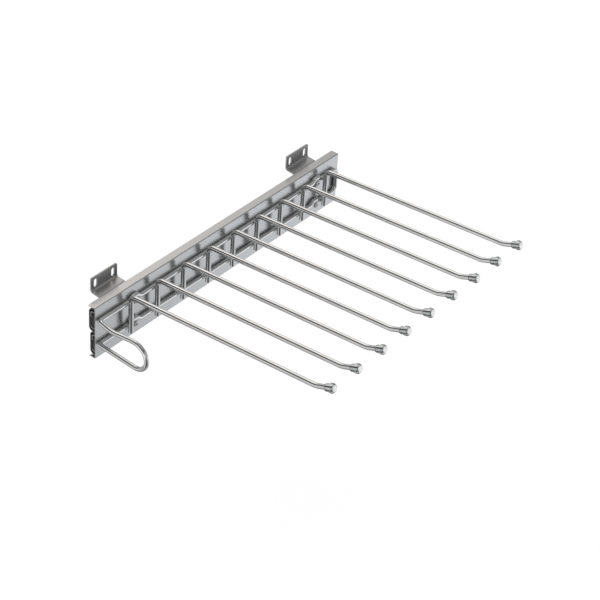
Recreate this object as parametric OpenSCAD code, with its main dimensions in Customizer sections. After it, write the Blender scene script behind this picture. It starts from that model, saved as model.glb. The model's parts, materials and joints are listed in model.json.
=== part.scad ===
// Pull-out trouser rack for the side wall of a wardrobe.
// Two wall brackets carry a pair of stacked ball-bearing slides. A bent sheet
// cover hides the slides and carries a wire frame with hanging arms and a
// front pull handle. All lengths are in millimetres.
//
// The object is drawn with the cover's outer face at x = 0, its front end at
// y = 0 and its top at z = 0. The arms reach towards +X and the wall is on the
// -X side. fixing_origin() then moves the origin to the middle of the wall
// fixing slots, on the wall plane.

/* [Cover] */
// Length of the cover, front to back
cover_l = 500; // [460:5:560]
// Height of the cover
cover_h = 78.5; // [78:0.5:84]
// Depth of the cover's top flange
cover_top = 12.2; // [12.2:0.1:14]
// Depth of the cover's bottom flange
cover_bottom = 10.5; // [6:0.5:11.5]
// Sheet thickness of the cover
cover_t = 1.2; // [1:0.1:1.4]

/* [Arms] */
// Distance between two arms
arm_pitch = 50.5; // [44:0.5:51]
// Distance of the first arm from the cover's front end
arm_first = 55.5; // [50:0.5:60]
// Diameter of the arm wire
arm_d = 7; // [6:0.5:8]
// Reach of the arm, from the cover's face to the wire's end
arm_reach = 328; // [220:1:400]
// Upward tilt of the arms, in degrees
arm_tilt = 2.65; // [0:0.05:5]
// Height of the arm's axis at its rung, below the cover's top
arm_drop = 6.3; // [5:0.1:9]
// Radius of the bend from rung to arm
arm_bend = 9; // [7:0.5:14]
// Length of the upturned tip
tip_l = 25.5; // [22:0.5:40]
// Upward angle of the tip, in degrees
tip_angle = 20; // [10:1:35]
// Height of the rung's lower end, below the cover's top
rung_foot = 62.2; // [60:0.2:72]

/* [Wire frame] */
// Diameter of the frame wire
frame_d = 6.5; // [5:0.5:7]
// Height of the upper frame wire, below the cover's top
wire_drop = 19.5; // [18.5:0.1:20.5]
// Distance between the two frame wires
wire_gap = 36; // [35:0.1:37.5]
// Height of each frame wire above its screws
wire_rise = 2.5; // [1.5:0.1:3]
// Height of the small arch over each screw head
arch_h = 4.6; // [4:0.1:6]
// Distance of the front screws from the cover's front end
screw_front = 69.5; // [68.5:0.5:76]
// Distance of the rear screws from the cover's front end
screw_rear = 446.5; // [440:0.5:446.5]
// Reach of the pull handle, from the cover's face
handle_x = 82.5; // [70:0.5:110]
// Lowest point of the handle's upper leg, below the upper frame wire
handle_dip = 5.7; // [3:0.1:7]
// Height of the handle's top, below the upper frame wire
handle_droop = 2.6; // [0:0.1:4]
// Depth of the handle's lower outer corner, below the lower frame wire
handle_low = 6.7; // [3:0.1:8]
// Share of the handle's outer height that its upper bend takes
handle_share = 0.51; // [0.4:0.01:0.6]

/* [Slides] */
// Height of one slide
slide_h = 34; // [33.8:0.1:34.5]
// Depth of one slide
slide_d = 11; // [11:0.1:11.4]
// Distance between the two slides' middles
slide_pitch = 37.4; // [36.5:0.1:37.6]
// Middle of the upper slide, below the cover's top
slide_drop = 21.5; // [21:0.1:22]
// Set-back of the upper slide from the cover's front end
slide_set = 1.6; // [1.6:0.1:4]
// How much further back the lower slide sits
lower_back = 2; // [0:0.1:3]
// Length of the fixed rails
slide_l = 490; // [440:5:490]

/* [Brackets] */
// Width of each wall bracket
bracket_w = 48; // [44:1:60]
// Middle of the front bracket, from the cover's front end
bracket_front = 47; // [40:1:70]
// Middle of the rear bracket, from the cover's front end
bracket_rear = 441; // [400:1:450]
// Gap between the wall and the cover's back edge
wall_gap = 17.8; // [14:0.1:30]
// Height of the wall flange above the cover's top
flange_up = 20; // [18:0.5:26]
// Sheet thickness of the brackets
bracket_t = 2; // [1.6:0.1:2]
// Distance between the two slots of one bracket
slot_gap = 32; // [28:1:34]
// Width of a slot
slot_w = 6; // [5:0.1:6.4]
// Length of a slot
slot_l = 12.5; // [10.5:0.5:13]
// Height of the slots' middles above the cover's top
slot_up = 9.8; // [9.6:0.1:12]

/* [Hidden] */

$fn = 48;
eps = 0.01;

// colours, as red, green, blue
steel = [0.68, 0.69, 0.71];
plate = [0.50, 0.49, 0.47];
chrome = [0.80, 0.81, 0.82];
dark = [0.22, 0.22, 0.23];
zinc = [0.60, 0.61, 0.60];
clear_plastic = [0.78, 0.80, 0.82];
black = [0.08, 0.08, 0.09];

// heights of the two slides, of the two frame wires and of the screws
zs = [-slide_drop, -slide_drop - slide_pitch];
zw = [-wire_drop, -wire_drop - wire_gap];
zc = [zw[0] - wire_rise, zw[1] - wire_rise];
// front ends of the two slides
ys = [slide_set, slide_set + lower_back];
// back face of the fixed rails, and the wall plane
x_back = -cover_t - slide_d;
x_wall = -cover_top - wall_gap;
fr = frame_d / 2;
ar = arm_d / 2;
// axes of the frame wires, which lie on the cover, and of the rungs welded to them
x_fw = fr + 0.02;
x_rung = x_fw + fr + ar - 0.2;
moving_l = slide_l - 4.5;
tilt_t = tan(arm_tilt);

module fixing_origin() {
    translate([-x_wall, -(bracket_front + bracket_rear) / 2, -slot_up]) children();
}

// ---------- wire: straight runs and round bends ----------
// A bend is drawn a hair thinner than the runs and goes a little way into
// them, so that the pieces meet cleanly.
thin = 0.01;
into = 0.15;
function unit(v) = v / norm(v);
function along(p, i) = unit(p[i + 1] - p[i]);
// angle of the bend at the end of run i, and the length it takes from each run
function turn(p, i) = acos(max(-1, min(1, along(p, i) * along(p, i + 1))));
function cut(p, rad, i) = rad[i] * tan(turn(p, i) / 2);
// direction towards the inside of bend i, square to run i
function inward(p, i) = unit(along(p, i + 1) - (along(p, i + 1) * along(p, i)) * along(p, i));
// the same direction as it points when bend i has been passed
function passed(p, i) = cos(turn(p, i)) * inward(p, i) - sin(turn(p, i)) * along(p, i);
function twist(p, i, n) = i >= n - 1 ? 0 :
    atan2(inward(p, i + 1) * cross(along(p, i + 1), passed(p, i)), inward(p, i + 1) * passed(p, i));
function start_cut(p, rad, closed) = closed ? cut(p, rad, len(rad) - 1) : 0;

// run i and all that follows it: z along the run and x towards the inside of its bend
module wire_from(p, rad, r, closed, i) {
    n = len(rad);
    h = norm(p[i + 1] - p[i]) - (i == 0 ? start_cut(p, rad, closed) : cut(p, rad, i - 1)) - (i < n ? cut(p, rad, i) : 0);
    cylinder(h = h, r = r);
    if (i < n) translate([rad[i], 0, h]) {
        more = into / rad[i] * 180 / PI;
        rotate([90, 0, 180]) rotate([0, 0, -more]) rotate_extrude(angle = turn(p, i) + 2 * more)
            translate([rad[i], 0]) circle(r - thin);
        if (!closed || i < n - 1)
            rotate([0, turn(p, i), 0]) translate([-rad[i], 0, 0]) rotate([0, 0, twist(p, i, n)])
            wire_from(p, rad, r, closed, i + 1);
    }
}

// p are the corner points and rad the radius of each bend. A closed wire's
// list ends with its first two points again and has a bend for each corner.
module wire(p, rad, r, closed = false) {
    w = along(p, 0);
    u = inward(p, 0);
    v = cross(w, u);
    s = p[0] + w * start_cut(p, rad, closed);
    multmatrix([[u[0], v[0], w[0], s[0]], [u[1], v[1], w[1], s[1]], [u[2], v[2], w[2], s[2]], [0, 0, 0, 1]])
        wire_from(p, rad, r, closed, 0);
}

// ---------- bent sheet: an even strip along a path in the plane ----------
function left(d) = [-d[1], d[0]];
function spin(v, a) = [v[0] * cos(a) - v[1] * sin(a), v[0] * sin(a) + v[1] * cos(a)];
function turn_sign(a, b, c) = let (d = b - a, e = c - b) (d[0] * e[1] - d[1] * e[0] > 0 ? 1 : -1);
function turn2(a, b, c) = acos(max(-1, min(1, unit(b - a) * unit(c - b))));
// points of one side of a bend, off to the left of the path
function bend_side(a, b, c, r, off, n) =
    let (d = unit(b - a), q = turn2(a, b, c), g = turn_sign(a, b, c),
         s = b - d * r * tan(q / 2), o = s + left(d) * g * r, v = (s - o) / r)
    [for (k = [0:n]) o + spin(v, g * q * k / n) * (r - g * off)];
function strip_side(p, rad, off, n) = concat(
    [p[0] + left(unit(p[1] - p[0])) * off],
    [for (i = [1:len(p) - 2]) for (q = bend_side(p[i - 1], p[i], p[i + 1], rad[i - 1], off, n)) q],
    [p[len(p) - 1] + left(unit(p[len(p) - 1] - p[len(p) - 2])) * off]);
function reversed(l) = [for (i = [len(l) - 1:-1:0]) l[i]];
module strip(p, rad, t, n = 8) {
    polygon(concat(strip_side(p, rad, t / 2, n), reversed(strip_side(p, rad, -t / 2, n))));
}

// a section drawn in x and z, stretched from y0 to y1
module along_y(y0, y1) {
    translate([0, y1, 0]) rotate([90, 0, 0]) linear_extrude(height = y1 - y0) children();
}

// a round bar along x
module bar_x(x0, x1, y, z, r) {
    translate([x0, y, z]) rotate([0, 90, 0]) cylinder(h = x1 - x0, r = r);
}

// what a rounded corner takes away: q is +1 or -1 in y, s in z
module corner_cut(x0, x1, y, z, q, s, r) {
    difference() {
        translate([x0, q > 0 ? y - r : y - eps, s > 0 ? z - r : z - eps]) cube([x1 - x0, r + eps, r + eps]);
        translate([x0 - 1, y - q * r, z - s * r]) rotate([0, 90, 0]) cylinder(h = x1 - x0 + 2, r = r);
    }
}

// ---------- wall brackets ----------
module wall_bracket(yc) {
    t = bracket_t;
    xw = x_wall + t / 2;
    xd = x_back - t / 2;
    zl = -cover_t - 0.4 - t / 2;
    z_foot = zs[1] - slide_h / 2 + 1;
    y0 = yc - bracket_w / 2;
    y1 = yc + bracket_w / 2;
    difference() {
        along_y(y0, y1)
            strip([[xw, flange_up], [xw, zl + 0.11 * (xd - xw)], [xd, zl], [xd, z_foot]], [4, 3], t, 12);
        for (s = [-1, 1]) {
            wall_slot(yc + s * slot_gap / 2);
            corner_cut(x_wall - 1, x_wall + t + 1, s > 0 ? y1 : y0, flange_up, s, 1, 3);
            corner_cut(x_back - t - 1, x_back + 1, s > 0 ? y1 : y0, z_foot, s, -1, 3);
        }
        for (z = zs) for (s = [-1, 1]) bar_x(x_back - t - 1, x_back + 1, yc + s * 13, z, 2.5);
    }
}

// an upright slot with round ends through the wall flange
module wall_slot(y) {
    h = (slot_l - slot_w) / 2;
    for (s = [-1, 1]) bar_x(x_wall - 1, x_wall + bracket_t + 1, y, slot_up + s * h, slot_w / 2);
    translate([x_wall - 1, y - slot_w / 2, slot_up - h]) cube([bracket_t + 2, slot_w, 2 * h]);
}

module front_wall_bracket() { color(plate) fixing_origin() wall_bracket(bracket_front); }
module rear_wall_bracket() { color(plate) fixing_origin() wall_bracket(bracket_rear); }

// ---------- slides ----------
// the middle of a slide's back face is at x_back and z
module section_at(z) { translate([x_back, z]) children(); }

module outer_rail(i) {
    h = slide_h / 2 - 0.6;
    u = slide_d - 1.2;
    z = zs[i];
    difference() {
        along_y(ys[i], ys[i] + slide_l) section_at(z)
            strip([[u, h - 1.5], [u, h], [0.6, h], [0.6, -h], [u, -h], [u, -h + 1.5]], [0.9, 4.5, 4.5, 0.9], 1.2, 10);
        for (yc = [bracket_front, bracket_rear]) for (s = [-1, 1]) rivet_space(yc + s * 13, z);
        for (y = rail_holes) rail_slot(y, z);
    }
}
// the rail's own fixing slots, which lie along it; its rivets leave them unused
rail_holes = [118, 214, 278, 374];
module rail_slot(y, z) {
    for (s = [-1, 1]) bar_x(x_back - 1, x_back + 2, y + s * 2.4, z, 2.3);
    translate([x_back - 1, y - 2.4, z - 2.3]) cube([3, 4.8, 4.6]);
}
// the countersunk hole of a rivet in the rail's back
module rivet_space(y, z) {
    bar_x(x_back - 1, x_back + 2, y, z, 2.5);
    translate([x_back + 0.2, y, z]) rotate([0, 90, 0]) cylinder(h = 1.0, r1 = 2.5, r2 = 3.9);
}
module upper_outer_rail() { color(dark) fixing_origin() outer_rail(0); }
module lower_outer_rail() { color(dark) fixing_origin() outer_rail(1); }

module bracket_rivets() {
    color(zinc) fixing_origin()
    for (yc = [bracket_front, bracket_rear]) for (s = [-1, 1]) for (z = zs)
        translate([x_back, yc + s * 13, z]) rotate([0, 90, 0])
        rotate_extrude() polygon([
            [0, -bracket_t - 1.5], [1.6, -bracket_t - 1.4], [2.9, -bracket_t - 1.0], [3.8, -bracket_t - 0.4], [4.1, -bracket_t],
            [2.5, -bracket_t], [2.5, 0.2], [3.86, 1.17], [0, 1.17]]);
}

// plastic blocks closing the rear ends of the fixed rails
module rail_bumpers() {
    color(black) fixing_origin()
    for (i = [0, 1]) {
        translate([x_back + 1.2, ys[i] + slide_l - 4, zs[i] - 11]) cube([8, 4, 22]);
        translate([x_back + 1.2, ys[i] + slide_l - 7.5, zs[i] - 3]) cube([1.2, 3.6, 6]);
    }
}

module middle_rail(i) {
    along_y(ys[i], ys[i] + moving_l) section_at(zs[i])
        strip([[8.9, 11.2], [8.9, 12.25], [3.3, 12.25], [3.3, -12.25], [8.9, -12.25], [8.9, -11.2]], [0.9, 1.8, 1.8, 0.9], 1.3, 6);
}
module upper_middle_rail() { color(zinc) fixing_origin() middle_rail(0); }
module lower_middle_rail() { color(zinc) fixing_origin() middle_rail(1); }

// plastic stops hooked over the front ends of the middle rails
module middle_rail_stops() {
    color(black) fixing_origin()
    for (i = [0, 1]) translate([x_back, ys[i], zs[i] - 9]) {
        translate([2.5, -1.3, 0]) cube([2.4, 1.28, 12.5]);
        translate([4, -0.02 - eps, 0]) cube([0.9, 6, 12.5]);
    }
}

module inner_rail(i) {
    u = slide_d - 0.6;
    difference() {
        along_y(ys[i], ys[i] + moving_l) section_at(zs[i])
            strip([[5.4, 8.4], [u, 8.4], [u, -8.4], [5.4, -8.4]], [1.2, 1.2], 1.2, 6);
        for (y = [screw_front, screw_rear]) bar_x(x_back + 8, x_back + slide_d + 1, y, zc[i], 2.05);
    }
}
module upper_inner_rail() { color(zinc) fixing_origin() inner_rail(0); }
module lower_inner_rail() { color(zinc) fixing_origin() inner_rail(1); }

// plastic plugs in the front ends of the inner rails
module inner_rail_stops() {
    color(black) fixing_origin()
    for (i = [0, 1]) translate([x_back, ys[i], zs[i]]) {
        translate([5.3, -1.5, -8.8]) cube([5.4, 1.48, 17.6]);
        translate([5.9, -0.02 - eps, -7.7]) cube([3.8, 8, 15.4]);
    }
}

// ball cages: a thin channel with a row of ball pockets in each flange
cage_y0 = 130;
cage_l = 240;
ball_gap = 16;
cage_balls = 15;
function ball_y(i) = cage_y0 + 8 + i * ball_gap;
outer_ball = [5.6, slide_h / 2 - 2.65, 1.3];
inner_ball = [6.9, 10.3, 1.15];

module cage(z, u0, u1, h, r, ball) {
    difference() {
        along_y(cage_y0, cage_y0 + cage_l) section_at(z)
            strip([[u1, h], [u0, h], [u0, -h], [u1, -h]], [r, r], 0.5, 6);
        for (s = [-1, 1]) for (i = [0:cage_balls - 1])
            translate([x_back + ball[0], ball_y(i), z + s * h - 1]) cylinder(h = 2, r = ball[2] + 0.1);
    }
}
module balls(ball) {
    for (z = zs) for (s = [-1, 1]) for (i = [0:cage_balls - 1])
        translate([x_back + ball[0], ball_y(i), z + s * ball[1]]) sphere(ball[2], $fn = 24);
}
module upper_outer_cage() { color(zinc) fixing_origin() cage(zs[0], 2.2, 8.2, outer_ball[1], 3.2, outer_ball); }
module lower_outer_cage() { color(zinc) fixing_origin() cage(zs[1], 2.2, 8.2, outer_ball[1], 3.2, outer_ball); }
module outer_cage_balls() { color(steel) fixing_origin() balls(outer_ball); }
module upper_inner_cage() { color(zinc) fixing_origin() cage(zs[0], 4.4, 8.2, inner_ball[1], 1.2, inner_ball); }
module lower_inner_cage() { color(zinc) fixing_origin() cage(zs[1], 4.4, 8.2, inner_ball[1], 1.2, inner_ball); }
module inner_cage_balls() { color(steel) fixing_origin() balls(inner_ball); }

// ---------- cover ----------
module slide_cover() {
    t = cover_t;
    color(steel) fixing_origin() difference() {
        along_y(0, cover_l)
            strip([[-cover_top, -t / 2], [-t / 2, -t / 2], [-t / 2, -cover_h + t / 2], [-cover_bottom, -cover_h + t / 2]], [1.1, 1.1], t, 8);
        for (y = [screw_front, screw_rear]) for (z = zc) bar_x(-t - 1, 1, y, z, 2.25);
        // eased corners of the flanges' free edges
        for (y = [0, cover_l]) translate([-cover_top, y, -t - 1]) rotate([0, 0, 45]) cube([1.6, 1.6, 2 * t + 4], center = true);
    }
}

// pan-head screws: each clamps the frame wire's arch and holds the cover to an
// inner rail
module cover_screws() {
    head_r = 4.2;
    // the head's underside rests on the arch beside it
    lift = wire_rise + arch_h - head_r;
    under = x_fw + (lift < fr ? sqrt(fr * fr - lift * lift) : 0) + 0.02;
    color(zinc) fixing_origin()
    for (y = [screw_front, screw_rear]) for (z = zc)
        translate([under, y, z]) rotate([0, 90, 0]) difference() {
            union() {
                rotate_extrude() polygon(concat([[0, 0], [head_r, 0], [head_r, 1.1]],
                    [for (k = [1:6]) [head_r - 1.6 * (1 - cos(k * 15)), 1.1 + 1.5 * sin(k * 15)]],
                    [[1.2, 2.75], [0, 2.8]]));
                translate([0, 0, -under - 5.4]) cylinder(h = under + 5.5, r = 2);
            }
            for (a = [20, 110]) rotate([0, 0, a]) translate([-2.2, -0.45, 1.3]) cube([4.4, 0.9, 3]);
        }
}

// ---------- wire frame with its pull handle ----------
// points and radii of the arch over one screw, going towards +y or -y
function arch_points(y, z, g) = [
    [x_fw, y - g * 9.5, z], [x_fw, y - g * 4, z + arch_h],
    [x_fw, y + g * 4, z + arch_h], [x_fw, y + g * 9.5, z]];
arch_radii = [6, 6.5, 6.5, 6];
y_hd = fr - 0.25;
y_end = cover_l - 7.5;
// the handle: its upper leg dips and rises again, and two wide bends fill its outer end
handle_h = wire_gap + handle_low - handle_droop;
handle_r1 = handle_share * handle_h;
low_angle = atan(handle_low / (handle_x - x_fw));
handle_r2 = (handle_h - handle_r1 - 0.5) / tan(45 + low_angle / 2);
handle_top = [
    [handle_x, y_hd, zw[0] - handle_droop], [handle_x - handle_r1 - 6, y_hd, zw[0] - handle_droop],
    [25, y_hd, zw[0] - handle_dip], [x_fw, y_hd, zw[0]]];
frame_corners = concat(
    arch_points(screw_front, zw[0], 1),
    arch_points(screw_rear, zw[0], 1),
    [[x_fw, y_end, zw[0]], [x_fw, y_end, zw[1]]],
    arch_points(screw_rear, zw[1], -1),
    arch_points(screw_front, zw[1], -1),
    [[x_fw, y_hd, zw[1]], [handle_x, y_hd, zw[1] - handle_low]]);
frame_path = concat([handle_top[3]], frame_corners, handle_top, [frame_corners[0]]);
frame_radii = concat(arch_radii, arch_radii, [8, 8], arch_radii, arch_radii,
    [5.5, handle_r2, handle_r1, 60, 45, 5.5]);
module frame_wire() { color(chrome) fixing_origin() wire(frame_path, frame_radii, fr, true); }

// ---------- arms and their end caps ----------
function arm_y(i) = arm_first + (i - 1) * arm_pitch;
function arm_z(x) = -arm_drop + (x - x_rung) * tilt_t;
x_tip = arm_reach - tip_l;
tip_end = [arm_reach, 0, arm_z(x_tip) + tip_l * tan(tip_angle)];
arm_path = [[x_rung, 0, -rung_foot], [x_rung, 0, arm_z(x_rung)], [x_tip, 0, arm_z(x_tip)], tip_end];
module arm(i) {
    color(chrome) fixing_origin() translate([0, arm_y(i), 0]) wire(arm_path, [arm_bend, 35], ar);
}

// a clear push-on cap with a collar and a domed head, drawn along its own axis
module end_cap(i) {
    bore = ar + 0.05;
    deep = 11.5;
    color(clear_plastic) fixing_origin() translate([tip_end[0], arm_y(i), tip_end[2]])
    rotate([0, 90 - tip_angle, 0]) translate([0, 0, -deep]) difference() {
        rotate_extrude() polygon(concat(
            [[0, 0], [4.7, 0], [5.15, 0.35], [5.3, 1.0], [5.3, 5.0], [5.5, 5.6], [6.0, 6.5], [6.4, 7.3], [6.55, 8.2]],
            [for (k = [1:9]) [6.55 - 2.35 * (1 - cos(k * 10)), 8.6 + 4.4 * sin(k * 10)]],
            [[2.2, 13.45], [0, 13.6]]));
        translate([0, 0, -1]) cylinder(h = deep + 1 + 0.05, r = bore);
    }
}

module arm_1() { arm(1); }
module arm_2() { arm(2); }
module arm_3() { arm(3); }
module arm_4() { arm(4); }
module arm_5() { arm(5); }
module arm_6() { arm(6); }
module arm_7() { arm(7); }
module arm_8() { arm(8); }
module arm_9() { arm(9); }
module end_cap_1() { end_cap(1); }
module end_cap_2() { end_cap(2); }
module end_cap_3() { end_cap(3); }
module end_cap_4() { end_cap(4); }
module end_cap_5() { end_cap(5); }
module end_cap_6() { end_cap(6); }
module end_cap_7() { end_cap(7); }
module end_cap_8() { end_cap(8); }
module end_cap_9() { end_cap(9); }

front_wall_bracket();
rear_wall_bracket();
upper_outer_rail();
lower_outer_rail();
bracket_rivets();
rail_bumpers();
upper_middle_rail();
lower_middle_rail();
middle_rail_stops();
upper_outer_cage();
lower_outer_cage();
outer_cage_balls();
upper_inner_cage();
lower_inner_cage();
inner_cage_balls();
slide_cover();
upper_inner_rail();
lower_inner_rail();
inner_rail_stops();
cover_screws();
frame_wire();
arm_1();
arm_2();
arm_3();
arm_4();
arm_5();
arm_6();
arm_7();
arm_8();
arm_9();
end_cap_1();
end_cap_2();
end_cap_3();
end_cap_4();
end_cap_5();
end_cap_6();
end_cap_7();
end_cap_8();
end_cap_9();
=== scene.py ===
import math, json

import bpy, bmesh
from mathutils import Vector, Matrix


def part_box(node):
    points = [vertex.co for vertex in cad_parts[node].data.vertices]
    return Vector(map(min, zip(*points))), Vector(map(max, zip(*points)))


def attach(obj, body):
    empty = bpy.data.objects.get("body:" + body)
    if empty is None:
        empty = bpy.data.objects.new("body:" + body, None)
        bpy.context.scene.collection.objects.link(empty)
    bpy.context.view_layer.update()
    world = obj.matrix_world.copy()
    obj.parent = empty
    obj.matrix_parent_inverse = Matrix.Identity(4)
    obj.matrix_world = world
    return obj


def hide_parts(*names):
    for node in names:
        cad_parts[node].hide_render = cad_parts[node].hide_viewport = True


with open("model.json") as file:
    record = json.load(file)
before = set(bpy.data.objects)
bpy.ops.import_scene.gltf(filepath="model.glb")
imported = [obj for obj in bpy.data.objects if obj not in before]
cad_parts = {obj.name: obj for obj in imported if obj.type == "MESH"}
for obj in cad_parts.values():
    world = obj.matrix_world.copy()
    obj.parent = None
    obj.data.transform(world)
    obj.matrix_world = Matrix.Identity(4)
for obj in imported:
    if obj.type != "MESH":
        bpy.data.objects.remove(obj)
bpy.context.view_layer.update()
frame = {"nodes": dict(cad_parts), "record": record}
NODES = frame["nodes"]
BODY_OF = {n: b for b, names in frame["record"]["behaviour"]["bodies"].items() for n in names}
SLOT_OF = {s["node"]: s["material_slot"] for s in frame["record"]["subparts"]}
MM = 0.001

# The pieces are drawn, as in the CAD, with the cover's outer face at x = 0, its
# front end at y = 0 and its top at z = 0, in millimetres. CORNER is where that
# point lies in the frame.
_lo, _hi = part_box("slide_cover")
CORNER = Vector((_hi[0], _lo[1], _hi[2]))


def at(p):
    return CORNER + Vector(p) * MM


# ------------------------------------------------------------------ materials
class Mat:
    """A small helper round one node tree with a Principled shader."""

    def __init__(self, name, color, metallic, roughness, **extra):
        self.mat = bpy.data.materials.new(name)
        self.mat.use_nodes = True
        self.nt = self.mat.node_tree
        self.bsdf = next(n for n in self.nt.nodes if n.type == "BSDF_PRINCIPLED")
        self.set("Base Color", (*color, 1.0))
        self.set("Metallic", metallic)
        self.set("Roughness", roughness)
        for k, v in extra.items():
            self.set(k.replace("_", " "), v)
        self.coord = self.nt.nodes.new("ShaderNodeTexCoord").outputs["Object"]

    def set(self, socket, value):
        self.bsdf.inputs[socket].default_value = value

    def node(self, kind, **props):
        n = self.nt.nodes.new(kind)
        for k, v in props.items():
            setattr(n, k, v)
        return n

    def link(self, a, b):
        self.nt.links.new(a, b)

    def scaled(self, scale, rot=(0, 0, 0), offset=(0, 0, 0)):
        m = self.node("ShaderNodeMapping")
        m.inputs["Scale"].default_value = scale
        m.inputs["Rotation"].default_value = rot
        m.inputs["Location"].default_value = offset
        self.link(self.coord, m.inputs["Vector"])
        return m.outputs[0]

    def noise(self, vector, scale, detail=3.0, rough=0.55):
        n = self.node("ShaderNodeTexNoise")
        n.inputs["Scale"].default_value = scale
        n.inputs["Detail"].default_value = detail
        n.inputs["Roughness"].default_value = rough
        self.link(vector, n.inputs["Vector"])
        return n.outputs["Fac"]

    def remap(self, value, a0, a1, b0, b1):
        m = self.node("ShaderNodeMapRange")
        m.clamp = True
        for i, v in zip((1, 2, 3, 4), (a0, a1, b0, b1)):
            m.inputs[i].default_value = v
        self.link(value, m.inputs[0])
        return m.outputs[0]

    def math(self, op, a, b=None):
        m = self.node("ShaderNodeMath", operation=op)
        for i, v in enumerate((a, b)):
            if v is None:
                continue
            if isinstance(v, (int, float)):
                m.inputs[i].default_value = v
            else:
                self.link(v, m.inputs[i])
        return m.outputs[0]

    def mix(self, fac, a, b):
        m = self.node("ShaderNodeMix", data_type="RGBA")
        self.link(fac, m.inputs[0])
        for i, v in ((6, a), (7, b)):
            if isinstance(v, tuple):
                m.inputs[i].default_value = (*v, 1.0)
            else:
                self.link(v, m.inputs[i])
        return m.outputs[2]

    def bump(self, height, strength, distance, chain=None):
        b = self.node("ShaderNodeBump")
        b.inputs["Strength"].default_value = strength
        b.inputs["Distance"].default_value = distance
        self.link(height, b.inputs["Height"])
        if chain is not None:
            self.link(chain, b.inputs["Normal"])
        return b.outputs[0]

    def across(self, axis):
        """A direction in the surface, square to axis: the highlight is drawn out along it."""
        c = self.node("ShaderNodeVectorMath", operation="CROSS_PRODUCT")
        self.link(self.node("ShaderNodeNewGeometry").outputs["Normal"], c.inputs[0])
        c.inputs[1].default_value = axis
        d = self.node("ShaderNodeVectorMath", operation="ADD")
        self.link(c.outputs[0], d.inputs[0])
        d.inputs[1].default_value = (0.013, 0.007, 0.011)
        return d.outputs[0]

    def to(self, socket, value):
        self.link(value, self.bsdf.inputs[socket])


def brushed(name, color, dark, roughness, aniso, fine=3600.0, broad=620.0, tone=0.5, bump=0.12, length=0.012):
    """Sheet metal with a fine grain along Y, faint broader streaks and a little cloudiness."""
    m = Mat(name, color, 1.0, roughness, Anisotropic=aniso)
    grain = m.scaled((1, length, 1))
    fine_n = m.noise(grain, fine, 2.0, 0.6)
    broad_n = m.noise(grain, broad, 3.0, 0.6)
    cloud = m.noise(m.scaled((1, 1, 1)), 16.0, 3.0, 0.5)
    streak = m.math("ADD", m.math("MULTIPLY", fine_n, 0.55), m.math("MULTIPLY", broad_n, 0.45))
    shade = m.math("ADD", m.math("MULTIPLY", streak, 0.7), m.math("MULTIPLY", cloud, 0.3))
    m.to("Base Color", m.mix(m.remap(shade, 0.36, 0.64, 0.0, 1.0), dark, color))
    m.to("Roughness", m.remap(shade, 0.35, 0.65, roughness * (1 + 0.3 * tone), roughness * (1 - 0.3 * tone)))
    m.to("Normal", m.bump(streak, bump, 0.00003))
    m.to("Tangent", m.across((0.0, 1.0, 0.0)))
    return m


def plated(name, color, dark, roughness, scale=60.0, spread=0.5, bump=0.05):
    """Plated or polished metal with faint cloudiness and small handling marks."""
    m = Mat(name, color, 1.0, roughness)
    cloud = m.noise(m.scaled((1, 1, 1)), scale, 4.0, 0.6)
    spots = m.noise(m.scaled((1, 1, 1), offset=(3.1, 1.7, 0.4)), scale * 14, 2.0, 0.5)
    both = m.math("ADD", m.math("MULTIPLY", cloud, 0.65), m.math("MULTIPLY", spots, 0.35))
    m.to("Base Color", m.mix(m.remap(both, 0.35, 0.62, 0.0, 1.0), dark, color))
    m.to("Roughness", m.remap(both, 0.35, 0.65, roughness * (1 + spread), roughness * (1 - spread)))
    m.to("Normal", m.bump(spots, bump, 0.00003))
    return m


cover_m = brushed("brushed_cover", (0.645, 0.645, 0.648), (0.615, 0.615, 0.618), 0.27, 0.85, tone=0.2, bump=0.03, length=0.008)
bracket_m = brushed("bracket_steel", (0.52, 0.517, 0.515), (0.48, 0.477, 0.475), 0.30, 0.7, fine=2600.0, tone=0.4, bump=0.03)
chrome_m = plated("chrome_wire", (0.83, 0.832, 0.835), (0.74, 0.742, 0.745), 0.055, spread=0.35, bump=0.03)
rail_dark_m = plated("outer_rail_steel", (0.060, 0.060, 0.064), (0.035, 0.035, 0.038), 0.36, scale=90, bump=0.15)
rail_dark_m.set("Metallic", 0.2)
zinc_m = plated("zinc_rail", (0.62, 0.625, 0.62), (0.50, 0.505, 0.50), 0.26, scale=80, bump=0.12)
cage_m = plated("cage_steel", (0.46, 0.46, 0.45), (0.33, 0.33, 0.32), 0.33, scale=80, bump=0.1)
ball_m = plated("ball_steel", (0.72, 0.72, 0.74), (0.62, 0.62, 0.64), 0.06, bump=0.02)
rivet_m = plated("rivet_zinc", (0.60, 0.60, 0.59), (0.46, 0.46, 0.45), 0.28, scale=120, bump=0.12)
screw_m = plated("screw_zinc", (0.64, 0.635, 0.62), (0.50, 0.495, 0.48), 0.17, scale=150, bump=0.08)

bumper_m = Mat("bumper_black", (0.018, 0.018, 0.02), 0.0, 0.5)
bn = bumper_m.noise(bumper_m.scaled((1, 1, 1)), 2600.0, 2.0)
bumper_m.to("Roughness", bumper_m.remap(bn, 0.3, 0.7, 0.42, 0.62))
bumper_m.to("Base Color", bumper_m.mix(bn, (0.012, 0.012, 0.014), (0.024, 0.024, 0.026)))
bumper_m.to("Normal", bumper_m.bump(bn, 0.25, 0.00005))

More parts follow.
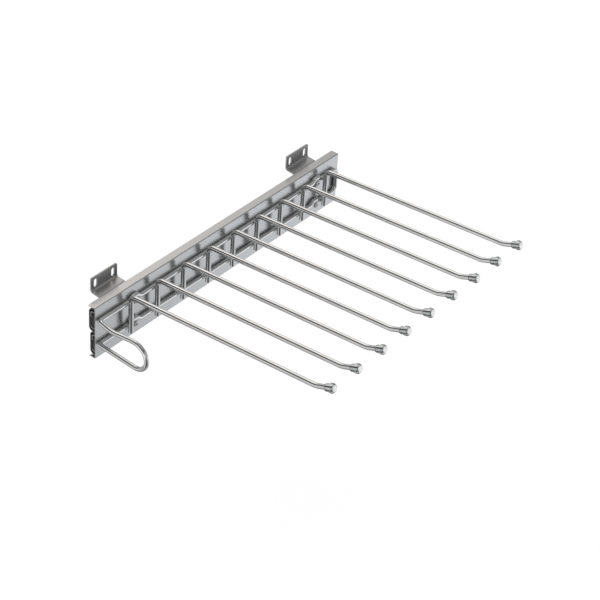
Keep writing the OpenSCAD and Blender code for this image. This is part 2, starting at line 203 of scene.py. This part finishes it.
# smoke-tinted clear plastic; its flat front end is whiter, rougher and less clear
cap_m = Mat("clear_cap", (0.62, 0.63, 0.64), 0.0, 0.03, IOR=1.49)
cap_m.set("Transmission Weight", 1.0)
cn = cap_m.noise(cap_m.scaled((1, 1, 1)), 420.0, 3.0)
smoke = cap_m.mix(cap_m.remap(cn, 0.3, 0.7, 0, 1), (0.78, 0.79, 0.80), (0.85, 0.86, 0.865))
end_x, end_z = at((328, 0, 0)).x, at((0, 0, -6.3 + (302.5 - 9.82) * math.tan(math.radians(2.65)) + 25.5 * math.tan(math.radians(20)))).z
reach = cap_m.node("ShaderNodeVectorMath", operation="DOT_PRODUCT")
cap_m.link(cap_m.coord, reach.inputs[0])
reach.inputs[1].default_value = (math.cos(math.radians(20)), 0.0, math.sin(math.radians(20)))
s_end = end_x * math.cos(math.radians(20)) + end_z * math.sin(math.radians(20))
clear = cap_m.remap(reach.outputs["Value"], s_end + 0.00115, s_end + 0.00140, 0.0, 1.0)
cap_m.to("Base Color", cap_m.mix(clear, smoke, (0.97, 0.975, 0.98)))
cap_m.to("Roughness", cap_m.math("ADD", cap_m.remap(cn, 0.3, 0.7, 0.015, 0.05), cap_m.math("MULTIPLY", clear, 0.2)))
cap_m.to("Transmission Weight", cap_m.remap(clear, 0.0, 1.0, 1.0, 0.42))

BY_SLOT = {"brushed_cover": cover_m, "bracket_steel": bracket_m, "chrome_wire": chrome_m,
           "outer_rail_steel": rail_dark_m, "zinc_rail": zinc_m, "cage_steel": cage_m, "ball_steel": ball_m,
           "rivet_zinc": rivet_m, "screw_zinc": screw_m, "bumper_black": bumper_m, "clear_cap": cap_m}

for name, obj in NODES.items():
    mat = BY_SLOT[SLOT_OF[name]].mat
    for s in obj.material_slots:
        s.material = mat
    if not obj.material_slots:
        obj.data.materials.append(mat)


# ------------------------------------------------------------------ mesh tools
def add_piece(name, bm, slot, body, replaces=(), sharp=40.0, weighted=False):
    """Turns a bmesh into a smooth-shaded piece that rides on a body."""
    bmesh.ops.recalc_face_normals(bm, faces=bm.faces)
    lim = math.radians(sharp)
    for e in bm.edges:
        e.smooth = not (len(e.link_faces) == 2 and e.calc_face_angle(0.0) > lim)
    for f in bm.faces:
        f.smooth = True
    me = bpy.data.meshes.new(name)
    bm.to_mesh(me)
    bm.free()
    me.materials.append(BY_SLOT[slot].mat)
    obj = bpy.data.objects.new(name, me)
    bpy.context.scene.collection.objects.link(obj)
    if weighted:
        w = obj.modifiers.new("weighted", "WEIGHTED_NORMAL")
        w.keep_sharp = True
        w.weight = 60
    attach(obj, body)
    if replaces:
        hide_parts(*replaces)
    return obj


def eased(node, width, piece, segments=2, angle=27.0, sharp=50.0):
    """A copy of a CAD node, in its place, whose sharp edges are eased as a punched or moulded edge is."""
    bm = bmesh.new()
    bm.from_mesh(NODES[node].data)
    bmesh.ops.remove_doubles(bm, verts=bm.verts, dist=3e-6)
    bmesh.ops.dissolve_limit(bm, angle_limit=math.radians(0.4), use_dissolve_boundaries=False,
                             verts=bm.verts, edges=bm.edges)
    lim = math.radians(angle)
    edges = [e for e in bm.edges if len(e.link_faces) == 2 and e.is_convex and e.calc_face_angle(0.0) > lim]
    bmesh.ops.bevel(bm, geom=edges, offset=width * MM, offset_type="OFFSET", segments=segments, profile=0.5,
                    affect="EDGES", clamp_overlap=True, loop_slide=True)
    return add_piece(piece, bm, SLOT_OF[node], BODY_OF[node], [node], sharp, weighted=True)


def rounded(points, radii, closed=False, step=6.0, run=25.0):
    """Corner points to a path with a round bend of its radius at each corner. step is the angle
    between two points of a bend in degrees, and run the longest straight stretch without a point."""
    pts = [Vector(p) for p in points]
    n = len(pts)
    out = [] if closed else [pts[0]]
    for k, i in enumerate(range(n) if closed else range(1, n - 1)):
        a, b, c = pts[i - 1], pts[i], pts[(i + 1) % n]
        u, w = (a - b).normalized(), (c - b).normalized()
        ang = u.angle(w)
        r = radii[k]
        cen = b + (u + w).normalized() * r / math.sin(ang / 2)
        e0 = (b + u * r / math.tan(ang / 2) - cen) / r
        e1 = (b + w * r / math.tan(ang / 2) - cen) / r
        th = e0.angle(e1)
        ax = (e1 - e0 * math.cos(th)).normalized()
        m = max(2, math.ceil(math.degrees(th) / step))
        out += [cen + (e0 * math.cos(th * j / m) + ax * math.sin(th * j / m)) * r for j in range(m + 1)]
    if not closed:
        out.append(pts[-1])
    full = []
    for i, p in enumerate(out):
        full.append(p)
        if i + 1 == len(out) and not closed:
            break
        q = out[(i + 1) % len(out)]
        k = int((q - p).length // run)
        full += [p.lerp(q, j / (k + 1)) for j in range(1, k + 1)]
    return full


def sweep(bm, path, radius, sides=30, closed=False, chamfer=(0.35, 0.45)):
    """A round wire along a path. Open ends are cut flat, with a small chamfer (depth along the wire, across it)."""
    n = len(path)
    tan = []
    for i in range(n):
        a = path[i] - path[i - 1] if (closed or i > 0) else path[1] - path[0]
        b = path[(i + 1) % n] - path[i] if (closed or i < n - 1) else path[-1] - path[-2]
        tan.append((a.normalized() + b.normalized()).normalized())
    up = tan[0].orthogonal().normalized()
    ups = [up]
    for i in range(1, n):
        up = tan[i - 1].rotation_difference(tan[i]) @ up
        up = (up - tan[i] * up.dot(tan[i])).normalized()
        ups.append(up)
    turn = 0.0
    if closed:
        back = tan[-1].rotation_difference(tan[0]) @ ups[-1]
        turn = math.atan2(back.cross(ups[0]).dot(tan[0]), back.dot(ups[0]))
    rings = []
    stations = [(path[i], tan[i], ups[i], radius, turn * i / n) for i in range(n)]
    if not closed:
        deep, wide = chamfer
        first, last = stations[0], stations[-1]
        stations[0] = (first[0] + tan[0] * deep, first[1], first[2], radius, 0.0)
        stations.insert(0, (first[0], first[1], first[2], radius - wide, 0.0))
        stations[-1] = (last[0] - tan[-1] * deep, last[1], last[2], radius, 0.0)
        stations.append((last[0], last[1], last[2], radius - wide, 0.0))
    for p, t, u, r, tw in stations:
        v = t.cross(u)
        ring = []
        for k in range(sides):
            q = 2 * math.pi * k / sides + tw
            ring.append(bm.verts.new(at(p + (u * math.cos(q) + v * math.sin(q)) * r)))
        rings.append(ring)
    m = len(rings)
    for i in range(m if closed else m - 1):
        r0, r1 = rings[i], rings[(i + 1) % m]
        for k in range(sides):
            bm.faces.new((r0[k], r0[(k + 1) % sides], r1[(k + 1) % sides], r1[k]))
    if not closed:
        bm.faces.new(list(reversed(rings[0])))
        bm.faces.new(rings[-1])


def ring_solid(bm, loops):
    """Joins closed loops of the same number of points, one after the other and round again, to a closed ring."""
    rows = [[bm.verts.new(at(p)) for p in loop] for loop in loops]
    m, n = len(rows), len(rows[0])
    for i in range(m):
        for k in range(n):
            bm.faces.new((rows[i][k], rows[i][(k + 1) % n], rows[(i + 1) % m][(k + 1) % n], rows[(i + 1) % m][k]))


# ------------------------------------------------------------------ wire frame
FR, AR = 3.25, 3.5
X_FW = FR + 0.02
X_RUNG = X_FW + FR + AR - 0.2
ZW = (-19.5, -55.5)
ARM_Y = [55.5 + 50.5 * i for i in range(9)]
# the handle's two wide outer bends, which fill its outer height of 40.1 mm
HAND_R1 = 0.51 * 40.1
HAND_R2 = (40.1 - HAND_R1 - 0.5) / math.tan(math.radians(45) + math.atan(6.7 / (82.5 - X_FW)) / 2)


def arch(y, z, g):
    return [(X_FW, y - g * 9.5, z), (X_FW, y - g * 4, z + 4.6), (X_FW, y + g * 4, z + 4.6), (X_FW, y + g * 9.5, z)]


bends = [6, 6.5, 6.5, 6]
corners = (arch(69.5, ZW[0], 1) + arch(446.5, ZW[0], 1) + [(X_FW, 492.5, ZW[0]), (X_FW, 492.5, ZW[1])]
           + arch(446.5, ZW[1], -1) + arch(69.5, ZW[1], -1)
           + [(X_FW, 3.0, ZW[1]), (82.5, 3.0, ZW[1] - 6.7), (82.5, 3.0, ZW[0] - 2.6), (82.5 - HAND_R1 - 6, 3.0, ZW[0] - 2.6),
              (25, 3.0, ZW[0] - 5.7), (X_FW, 3.0, ZW[0])])
radii = bends + bends + [8, 8] + bends + bends + [5.5, HAND_R2, HAND_R1, 60, 45, 5.5]
bm = bmesh.new()
sweep(bm, rounded(corners, radii, closed=True, step=6.0), FR, sides=32, closed=True)
add_piece("handle_and_frame_wire", bm, "chrome_wire", "carriage", ["frame_wire"])

# ------------------------------------------------------------------ arms
tilt = math.tan(math.radians(2.65))
arm_z = lambda x: -6.3 + (x - X_RUNG) * tilt
X_TIP = 328 - 25.5
TIP = Vector((328, 0, arm_z(X_TIP) + 25.5 * math.tan(math.radians(20))))
for i, y in enumerate(ARM_Y):
    path = rounded([(X_RUNG, y, -62.2), (X_RUNG, y, arm_z(X_RUNG)), (X_TIP, y, arm_z(X_TIP)), (TIP[0], y, TIP[2])],
                   [9, 35], step=5.0)
    bm = bmesh.new()
    sweep(bm, path, AR, sides=32)
    add_piece(f"arm_wire_{i + 1}", bm, "chrome_wire", "carriage", [f"arm_{i + 1}"])

# the weld between a rung and a frame wire: a small collar of pressed-out metal round the spot where they meet
bm = bmesh.new()
for i, y in enumerate(ARM_Y):
    for j, z in enumerate(ZW):
        def skin(rho, q):
            a, b = rho * math.cos(q), rho * math.sin(q)
            return X_FW + math.sqrt(FR * FR - b * b), X_RUNG - math.sqrt(AR * AR - a * a), a, b
        loops = []
        for s, rho in ((-1.0, 2.55), (-0.55, 2.28), (0.0, 2.12), (0.55, 2.28), (1.0, 2.55), (0.0, 0.9)):
            loop = []
            for k in range(24):
                q = 2 * math.pi * k / 24
                wob = 1 + 0.05 * math.sin(3 * q + i * 1.9 + j) + 0.03 * math.sin(5 * q + i * 0.7 + 2 * j)
                f, r, a, b = skin(rho * wob if rho > 1 else rho, q)
                f, r = f - 0.12, r + 0.12
                loop.append((f + (r - f) * (s + 1) / 2, y + a, z + b))
            loops.append(loop)
        ring_solid(bm, loops)
add_piece("rung_welds", bm, "chrome_wire", "carriage")

# ------------------------------------------------------------------ end caps
# profile along the cap's axis: distance from the wire's end backwards is negative, and the radius
CAP_OUT = [(-11.5, 4.55), (-11.4, 4.85), (-11.1, 5.08), (-10.6, 5.22), (-10.0, 5.3), (-8.2, 5.32), (-6.6, 5.34), (-6.2, 5.42),
           (-5.6, 5.68), (-5.0, 6.02), (-4.4, 6.3), (-3.7, 6.48), (-2.9, 6.55), (-2.1, 6.5), (-1.4, 6.36), (-0.7, 6.08),
           (-0.05, 5.7), (0.5, 5.25), (0.95, 4.75), (1.2, 4.35), (1.33, 4.1), (1.4, 3.85), (1.45, 3.5), (1.5, 2.8), (1.54, 1.9), (1.56, 0.95)]
CAP_IN = [(0.04, 3.3), (-0.2, 3.55), (-4.0, 3.55), (-8.0, 3.55), (-10.9, 3.55), (-11.3, 3.75), (-11.45, 4.0)]
axis = Vector((math.cos(math.radians(20)), 0, math.sin(math.radians(20))))
side = Vector((0, 1, 0))
over = axis.cross(side)
for i, y in enumerate(ARM_Y):
    bm = bmesh.new()
    rings = []
    end = Vector((TIP[0], y, TIP[2]))
    S = 48
    for d, r in CAP_OUT[::-1] + CAP_OUT[:0]:
        rings.append([bm.verts.new(at(end + axis * d + (side * math.cos(2 * math.pi * k / S) + over * math.sin(2 * math.pi * k / S)) * r))
                      for k in range(S)])
    for d, r in CAP_IN[::-1]:
        rings.append([bm.verts.new(at(end + axis * d + (side * math.cos(2 * math.pi * k / S) + over * math.sin(2 * math.pi * k / S)) * r))
                      for k in range(S)])
    for a, b in zip(rings[:-1], rings[1:]):
        for k in range(S):
            bm.faces.new((a[k], a[(k + 1) % S], b[(k + 1) % S], b[k]))
    tip = bm.verts.new(at(end + axis * 1.565))
    pit = bm.verts.new(at(end + axis * 0.05))
    for k in range(S):
        bm.faces.new((rings[0][(k + 1) % S], rings[0][k], tip))
        bm.faces.new((rings[-1][k], rings[-1][(k + 1) % S], pit))
    add_piece(f"cap_{i + 1}", bm, "clear_cap", "carriage", [f"end_cap_{i + 1}"], sharp=70.0)

# ------------------------------------------------------------------ sheet parts, rails and small parts
eased("slide_cover", 0.28, "cover_sheet")
eased("front_wall_bracket", 0.35, "front_bracket_plate")
eased("rear_wall_bracket", 0.35, "rear_bracket_plate")
for n in ("upper_outer_rail", "lower_outer_rail", "upper_middle_rail", "lower_middle_rail",
          "upper_inner_rail", "lower_inner_rail"):
    eased(n, 0.2, n + "_strip")
eased("middle_rail_stops", 0.35, "middle_stops_moulded")
eased("inner_rail_stops", 0.5, "inner_stops_moulded")
eased("rail_bumpers", 0.6, "bumper_blocks_moulded")

# ------------------------------------------------------------------ stage
FLOOR_Z = -0.42
bpy.ops.mesh.primitive_plane_add(size=60, location=(0, 0, FLOOR_Z))
floor = bpy.context.object
floor.name = "floor"
fm = Mat("pale_floor", (0.93, 0.93, 0.93), 0.0, 0.9)
fn = fm.noise(fm.scaled((1, 1, 1)), 3.0, 2.0)
fm.to("Base Color", fm.mix(fn, (0.925, 0.925, 0.925), (0.935, 0.935, 0.935)))
# seen from below the floor is clear, so that the object's underside can be looked at
under = fm.node("ShaderNodeMixShader")
fm.link(fm.node("ShaderNodeNewGeometry").outputs["Backfacing"], under.inputs[0])
fm.link(fm.bsdf.outputs[0], under.inputs[1])
fm.link(fm.node("ShaderNodeBsdfTransparent").outputs[0], under.inputs[2])
fm.link(under.outputs[0], next(n for n in fm.nt.nodes if n.type == "OUTPUT_MATERIAL").inputs["Surface"])
floor.data.materials.append(fm.mat)
floor.visible_glossy = False
floor.visible_transmission = False

# The studio: an even white surround, and for the metal's reflections big soft
# boxes with darker gaps between them.
world = bpy.data.worlds.new("studio")
bpy.context.scene.world = world
world.use_nodes = True
wn = world.node_tree
for n in list(wn.nodes):
    wn.nodes.remove(n)


def wnode(kind, **props):
    n = wn.nodes.new(kind)
    for k, v in props.items():
        setattr(n, k, v)
    return n


def ramp(value, a0, a1, b0=0.0, b1=1.0):
    r = wnode("ShaderNodeMapRange", interpolation_type="SMOOTHSTEP")
    r.clamp = True
    for i, v in zip((1, 2, 3, 4), (a0, a1, b0, b1)):
        r.inputs[i].default_value = v
    wn.links.new(value, r.inputs[0])
    return r.outputs[0]


def times(a, b):
    m = wnode("ShaderNodeMath", operation="MULTIPLY")
    wn.links.new(a, m.inputs[0])
    wn.links.new(b, m.inputs[1])
    return m.outputs[0]


def add_light(total, amount, color):
    v = wnode("ShaderNodeVectorMath", operation="MULTIPLY_ADD")
    wn.links.new(amount, v.inputs[0])
    v.inputs[1].default_value = color
    wn.links.new(total, v.inputs[2])
    return v.outputs[0]


direction = wnode("ShaderNodeTexCoord").outputs["Generated"]
split = wnode("ShaderNodeSeparateXYZ")
wn.links.new(direction, split.inputs[0])
WARM, COOL, EVEN = Vector((1.0, 0.945, 0.88)), Vector((0.88, 0.94, 1.0)), Vector((1.0, 1.0, 1.0))
base = wnode("ShaderNodeCombineXYZ")
LIGHT_BASE = 0.44
for i in range(3):
    base.inputs[i].default_value = LIGHT_BASE
total = base.outputs[0]
# direction, half-angle where it is full, half-angle where it ends, added light, colour
LOBES = [
    ((-0.52, 0.33, 0.79), 19, 28, 0.72, WARM),    # big box above
    ((0.45, 0.81, -0.38), 11, 22, 0.54, COOL),    # bright card to the right and behind
    ((0.66, 0.50, -0.56), 5, 15, 0.20, COOL),
    ((0.76, 0.60, -0.24), 5, 13, 0.60, EVEN),
    ((0.62, -0.55, -0.56), 24, 36, -0.34, EVEN),  # dim floor before the camera
    ((-0.20, -0.45, -0.87), 18, 40, -0.12, EVEN),
    ((-0.55, -0.82, -0.20), 30, 50, 0.05, EVEN),
    ((0.38, 0.66, 0.65), 14, 34, -0.15, EVEN),
    ((-0.46, 0.88, 0.10), 18, 36, 0.14, EVEN),
    ((-0.27, -0.78, -0.56), 9, 15, 0.55, EVEN),   # white card below the handle
    ((0.36, -0.77, 0.50), 18, 34, -0.62, EVEN),   # the dark room behind the camera
    ((-0.05, -0.97, -0.20), 15, 28, 0.34, EVEN),
    ((0.75, -0.03, 0.66), 8, 18, -0.38, EVEN),    # dark edge on the camera's side
]
for d, full, end, gain, color in LOBES:
    dot = wnode("ShaderNodeVectorMath", operation="DOT_PRODUCT")
    wn.links.new(direction, dot.inputs[0])
    dot.inputs[1].default_value = Vector(d).normalized()
    amount = ramp(dot.outputs["Value"], math.cos(math.radians(end)), math.cos(math.radians(full)))
    total = add_light(total, amount, color * gain)
# the studio's front wall, from the horizon up
wall = times(ramp(split.outputs["Y"], -0.45, -0.68), ramp(split.outputs["Z"], -0.45, 0.02))
wall = times(wall, ramp(split.outputs["Z"], 0.50, 0.64, 1.0, 0.0))
total = add_light(total, wall, EVEN * 0.32)
# the dark gap between the big box above and that wall: a band along X
tilt_g = math.radians(66.0)
across_gap = wnode("ShaderNodeVectorMath", operation="DOT_PRODUCT")
wn.links.new(direction, across_gap.inputs[0])
across_gap.inputs[1].default_value = (0.0, math.sin(tilt_g), math.cos(tilt_g))
gap = times(ramp(across_gap.outputs["Value"], -0.66, -0.54), ramp(across_gap.outputs["Value"], 0.03, 0.15, 1.0, 0.0))
gap = times(gap, ramp(split.outputs["Z"], 0.22, 0.36))
gap = times(gap, times(ramp(split.outputs["X"], -0.98, -0.90), ramp(split.outputs["X"], -0.02, 0.16, 1.0, 0.0)))
total = add_light(total, gap, EVEN * -0.62)
least = wnode("ShaderNodeVectorMath", operation="MAXIMUM")    # the darkest spot in the studio still has some light
wn.links.new(total, least.inputs[0])
least.inputs[1].default_value = (0.045, 0.045, 0.047)
total = least.outputs[0]
glossy_bg = wnode("ShaderNodeBackground")
wn.links.new(total, glossy_bg.inputs["Color"])
glossy_bg.inputs["Strength"].default_value = 1.0
plain_bg = wnode("ShaderNodeBackground")
plain_bg.inputs["Color"].default_value = (1.0, 1.0, 1.0, 1.0)
plain_bg.inputs["Strength"].default_value = 1.14
path = wnode("ShaderNodeLightPath")
mixer = wnode("ShaderNodeMixShader")
wn.links.new(path.outputs["Is Glossy Ray"], mixer.inputs[0])
wn.links.new(plain_bg.outputs[0], mixer.inputs[1])
wn.links.new(glossy_bg.outputs[0], mixer.inputs[2])
# what is seen through the clear caps: the same studio, with the card in front of the arms' tips
card = wnode("ShaderNodeVectorMath", operation="DOT_PRODUCT")
wn.links.new(direction, card.inputs[0])
card.inputs[1].default_value = Vector((0.74, 0.66, -0.14)).normalized()
through = add_light(total, ramp(card.outputs["Value"], math.cos(math.radians(28)), math.cos(math.radians(17))), EVEN * 1.5)
below = wnode("ShaderNodeVectorMath", operation="DOT_PRODUCT")
wn.links.new(direction, below.inputs[0])
below.inputs[1].default_value = Vector((-0.15, -0.25, -0.95)).normalized()
through = add_light(through, ramp(below.outputs["Value"], math.cos(math.radians(62)), math.cos(math.radians(38))), EVEN * -0.19)
clear_bg = wnode("ShaderNodeBackground")
wn.links.new(through, clear_bg.inputs["Color"])
last = wnode("ShaderNodeMixShader")
wn.links.new(path.outputs["Is Transmission Ray"], last.inputs[0])
wn.links.new(mixer.outputs[0], last.inputs[1])
wn.links.new(clear_bg.outputs[0], last.inputs[2])
out = wnode("ShaderNodeOutputWorld")
wn.links.new(last.outputs[0], out.inputs["Surface"])
world.cycles.sampling_method = "NONE"

# ------------------------------------------------------------------ camera
cam_data = bpy.data.cameras.new("camera")
cam = bpy.data.objects.new("camera", cam_data)
bpy.context.scene.collection.objects.link(cam)
cam_data.sensor_width = 36.0
cam_data.lens = 117.5547
cam_data.clip_end = 100.0
cam.matrix_world = Matrix((
    (0.786649, -0.397128, 0.472729, 1.370996),
    (0.614779, 0.433359, -0.658975, -1.680981),
    (0.056836, 0.809005, 0.585047, 1.431663),
    (0.0, 0.0, 0.0, 1.0)))
bpy.context.scene.camera = cam
bpy.context.scene.view_settings.view_transform = "Standard"
